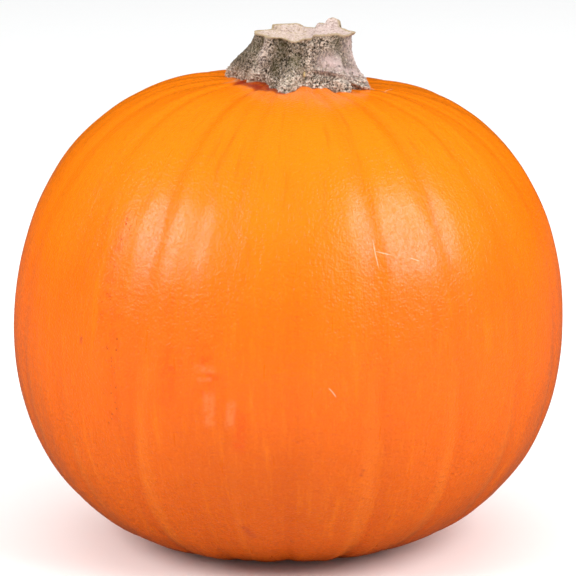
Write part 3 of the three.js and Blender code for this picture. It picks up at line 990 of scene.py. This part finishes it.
def stem_skin(in_mm, level, reach, azimuth):
    """The stem's fine relief in mm, and its patterns from 0 to 1, at points given in mm.

    Crust grows where folded noise stands high in the patches that spread it, and granules where drawn
    specks fall. The fold is a crest beside a hollow, each a bell curve of the distance from its line; the
    hollow is also painted dark, as painted shade.
    """
    on_side = smooth_step((1 - level) / 0.03)
    on_cut = smooth_step((0.995 - reach) / 0.03)
    dark = patch(azimuth, level, DARK_PATCHES)
    lilac = patch(azimuth, level, LILAC_PATCHES)
    thorn = patch(azimuth, level, (THORN,))
    belt = smooth_step((0.42 - level) / 0.3)
    beyond_fold = (level - fold_line(azimuth)) / 0.035
    folded = smooth_step((azimuth - 10) / 8) * smooth_step((70 - azimuth) / 8)
    crest, hollow = folded * bell(beyond_fold, 1), folded * bell(beyond_fold + 2.2, 1.3)

    swirl = stacked(*(gradient_noise(in_mm * 0.5, seed) for seed in (31, 32, 33)))
    curls = ridged_noise((in_mm + 0.8 * swirl) * 0.72, 22)
    small_curls = ridged_noise((in_mm + 0.5 * swirl) * 1.35, 24)
    fibres = gradient_noise(in_mm * (0.8, 0.8, 0.16), 21)
    patches = gradient_noise(in_mm * 0.13, 25)
    granules = speckled(in_mm / 1.25, 26, 0.6, 0.34)
    spread = 0.5 * belt + patch(azimuth, level, CRUST_PATCHES)
    spread += 0.35 * patches - 0.7 * dark - 0.3 * lilac
    crust = smooth_step((0.75 * curls + 0.45 * small_curls + 0.55 * spread - 0.8) / 0.35) * on_side
    dots = smooth_step((granules * (0.35 + belt - 0.4 * dark) - 0.3) / 0.25) * on_side

    relief = 0.35 * crust + 0.4 * dots + 0.35 * fibres + 0.3 * patches - 0.45 * dark
    relief += 0.8 * thorn + 0.7 * (crest - hollow)
    torn = ridged_noise(in_mm * (0.28, 0.5, 0.3), 27) - 0.5 + 0.8 * gradient_noise(in_mm * 0.9, 28)
    return relief * on_side + 0.4 * torn * on_cut, {
        "crust": crust,
        # The hollow under the fold is painted dark as shade
        "dark": np.clip(dark + 0.8 * hollow, 0, 1) * on_side,
        "lilac": lilac * on_side,
        "belt": (0.4 + 0.35 * belt) * (1 - 0.6 * dark) * on_side,
        "pinkish": smooth_step((in_mm[..., 0] - 7) / 4),
        "thorn": thorn,
        "cut": np.maximum(on_cut, smooth_step((level - 0.955) / 0.03)),
        "rim": np.where(on_cut > 0.5, smooth_step((reach - 0.86) / 0.1), 1),
        "dots": dots,
        "bruised": patch(azimuth, level, BRUISED_PATCHES) * on_side,
    }


class PUMPKIN_OT_grow_stem(Operator):
    """Grow the cut stem, from its toes on the crown to its torn end"""

    bl_idname = "pumpkin.grow_stem"
    bl_label = "Grow stem"

    def execute(self, context):
        settings = context.scene.pumpkin_stem
        girth = context.scene.pumpkin_rind.girth_radius
        scale, move = frame_move(rind_grid(208, 116, girth)[0])
        points, level, reach, azimuth = stem_rings(settings, girth)
        points = points * scale + move
        relief, patterns = stem_skin(points / MM, level, reach, azimuth)
        relief[0] = 0
        points = points + surface_normals(points) * relief[..., None] * MM
        points[..., 2] = np.minimum(points[..., 2], STEM_HIGH.z)
        low_pole = points[0].mean(axis=0) - np.array((0, 0, 1 * MM))
        stem = closed_mesh("cut_stem", points, low_pole, points[-1].mean(axis=0))
        write_attributes(stem, patterns, {"cut": (0, 1)})
        stem.data.materials.append(stem_material(settings))
        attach(stem, "root")
        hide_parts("stem")
        return {"FINISHED"}


# The photograph's framing, for a picture 576 pixels wide and high
PICTURE_SIZE = 576
FOCAL_LENGTH_PIXELS = 3277.6
GIRTH_MIDDLE_PIXEL = (287.7, 321.0)
SENSOR_WIDTH = 36.0

# Soft lights: azimuth and elevation in degrees, distance, width and height in metres, power in watts, and
# whether the rind mirrors them
LIGHTS = {
    "left_softbox": (-59, 34, 1.5, 0.8, 0.86, 14, True),
    "right_softbox": (57.5, 35, 1.5, 0.96, 0.96, 18, True),
    "overhead": (0, 84, 2.6, 3.0, 3.0, 20, False),
    "front_fill": (0, 16, 5.0, 5.4, 3.0, 12, False),
    "left_fill": (-108, 12, 5.0, 5.0, 2.3, 39, False),
    "right_fill": (108, 12, 5.0, 5.0, 2.3, 41, False),
    "back_fill": (180, 38, 2.6, 3.0, 2.0, 12, False),
}


def direction_of(azimuth, elevation):
    """The unit vector towards an azimuth, counted from the front, and an elevation, in degrees."""
    around, above = math.radians(azimuth), math.radians(elevation)
    flat = math.cos(above)
    return Vector((flat * math.sin(around), -flat * math.cos(around), math.sin(above)))


def add_camera(settings, target):
    """The camera on the fruit's front, turned so that the girth's middle falls on its pixel."""
    data = bpy.data.cameras.new("camera")
    data.sensor_width = SENSOR_WIDTH
    data.lens = FOCAL_LENGTH_PIXELS / PICTURE_SIZE * SENSOR_WIDTH
    camera = placed("camera", data)
    outward = direction_of(0, math.degrees(settings.camera_elevation))
    up = Vector((0, math.sin(settings.camera_elevation), math.cos(settings.camera_elevation)))
    per_pixel = settings.camera_distance / FOCAL_LENGTH_PIXELS
    right_by = (PICTURE_SIZE / 2 - GIRTH_MIDDLE_PIXEL[0]) * per_pixel
    up_by = (GIRTH_MIDDLE_PIXEL[1] - PICTURE_SIZE / 2) * per_pixel
    camera.location = target + outward * settings.camera_distance
    aim = target + Vector((right_by, 0, 0)) + up * up_by
    camera.rotation_euler = (aim - camera.location).to_track_quat("-Z", "Y").to_euler()
    bpy.context.scene.camera = camera


def add_light(name, target, azimuth, elevation, distance, width, height, power, mirrored):
    """A soft light that faces the fruit: an oval softbox, or a fill light that shows in no reflection."""
    data = bpy.data.lights.new(name, "AREA")
    data.shape = "ELLIPSE" if mirrored else "RECTANGLE"
    data.size = width
    data.size_y = height
    data.energy = power
    light = placed(name, data)
    light.location = target + direction_of(azimuth, elevation) * distance
    light.rotation_euler = (target - light.location).to_track_quat("-Z", "Y").to_euler()
    light.visible_glossy = mirrored
    light.visible_camera = False
    data.cycles.use_multiple_importance_sampling = mirrored


def add_world():
    """A white room that lights the fruit a little from all round, but isn't mirrored in it."""
    world = bpy.data.worlds.new("studio")
    bpy.context.scene.world = world
    world.use_nodes = True
    tree = world.node_tree
    seen = node(tree, "ShaderNodeLightPath").outputs["Is Camera Ray"]
    strength = maths(tree, "MULTIPLY_ADD", seen, 0.55, 0.5)
    fill(tree, tree.nodes["Background"], {"Color": (1, 1, 1, 1), "Strength": strength})
    world.cycles_visibility.glossy = False


def floor_material(settings):
    """Pale matt paper with the faintest grain, that shows dark in the rind's gloss."""
    material, tree, shader = new_material("floor")
    place = node(tree, "ShaderNodeTexCoord").outputs["Object"]
    paler = tuple(min(1.0, value * 1.02) for value in settings.floor_colour)
    grain = tint(tree, noise(tree, place, 60, 2), settings.floor_colour, paler)
    rays = node(tree, "ShaderNodeLightPath").outputs
    dimmed = tint(tree, rays["Is Diffuse Ray"], grain, (0.8, 0.8, 0.8))
    dimmed = tint(tree, rays["Is Glossy Ray"], dimmed, (0.08, 0.08, 0.08))
    fill(tree, shader, {"Base Color": dimmed, "Roughness": 0.95, "Specular IOR Level": 0.1})
    return material


class PUMPKIN_OT_set_stage(Operator):
    """Set the floor, the lights, the world and the camera"""

    bl_idname = "pumpkin.set_stage"
    bl_label = "Set stage"

    def execute(self, context):
        settings = context.scene.pumpkin_stage
        half = settings.floor_size / 2
        mesh = bpy.data.meshes.new("floor")
        corners = [(-half, -half, 0), (half, -half, 0), (half, half, 0), (-half, half, 0)]
        mesh.from_pydata(corners, [], [(0, 1, 2, 3)])
        floor = placed("floor", mesh)
        floor.data.materials.append(floor_material(settings))
        middle = (FRUIT_LOW + FRUIT_HIGH) / 2
        target = Vector((middle.x, middle.y, UNDERSIDE_DEPTH - REST_LIFT))
        add_camera(settings, target)
        for name, placing in LIGHTS.items():
            add_light(name, target, *placing)
        add_world()
        context.scene.view_settings.view_transform = "Standard"
        return {"FINISHED"}


class PUMPKIN_PT_sidebar(Panel):
    """Lists the pumpkin's operators and settings"""

    bl_label = "Pumpkin"
    bl_idname = "PUMPKIN_PT_sidebar"
    bl_space_type = "VIEW_3D"
    bl_region_type = "UI"
    bl_category = "Pumpkin"

    def draw(self, context):
        for operator, pointer, _ in STEPS:
            box = self.layout.box()
            box.operator(operator)
            settings = getattr(context.scene, pointer)
            for name in settings.__annotations__:
                box.prop(settings, name)


STEPS = (
    ("pumpkin.grow_rind", "pumpkin_rind", RindSettings),
    ("pumpkin.grow_stem", "pumpkin_stem", StemSettings),
    ("pumpkin.set_stage", "pumpkin_stage", StageSettings),
)
CLASSES = (
    *(group for _, _, group in STEPS),
    PUMPKIN_OT_grow_rind,
    PUMPKIN_OT_grow_stem,
    PUMPKIN_OT_set_stage,
    PUMPKIN_PT_sidebar,
)


def register():
    for item in CLASSES:
        bpy.utils.register_class(item)
    for _, name, group in STEPS:
        setattr(bpy.types.Scene, name, PointerProperty(type=group))


def unregister():
    for _, name, _ in STEPS:
        delattr(bpy.types.Scene, name)
    for item in reversed(CLASSES):
        bpy.utils.unregister_class(item)


def main():
    register()
    bpy.ops.pumpkin.set_stage()
    bpy.ops.pumpkin.grow_rind()
    bpy.ops.pumpkin.grow_stem()


if __name__ == "__main__":
    main()
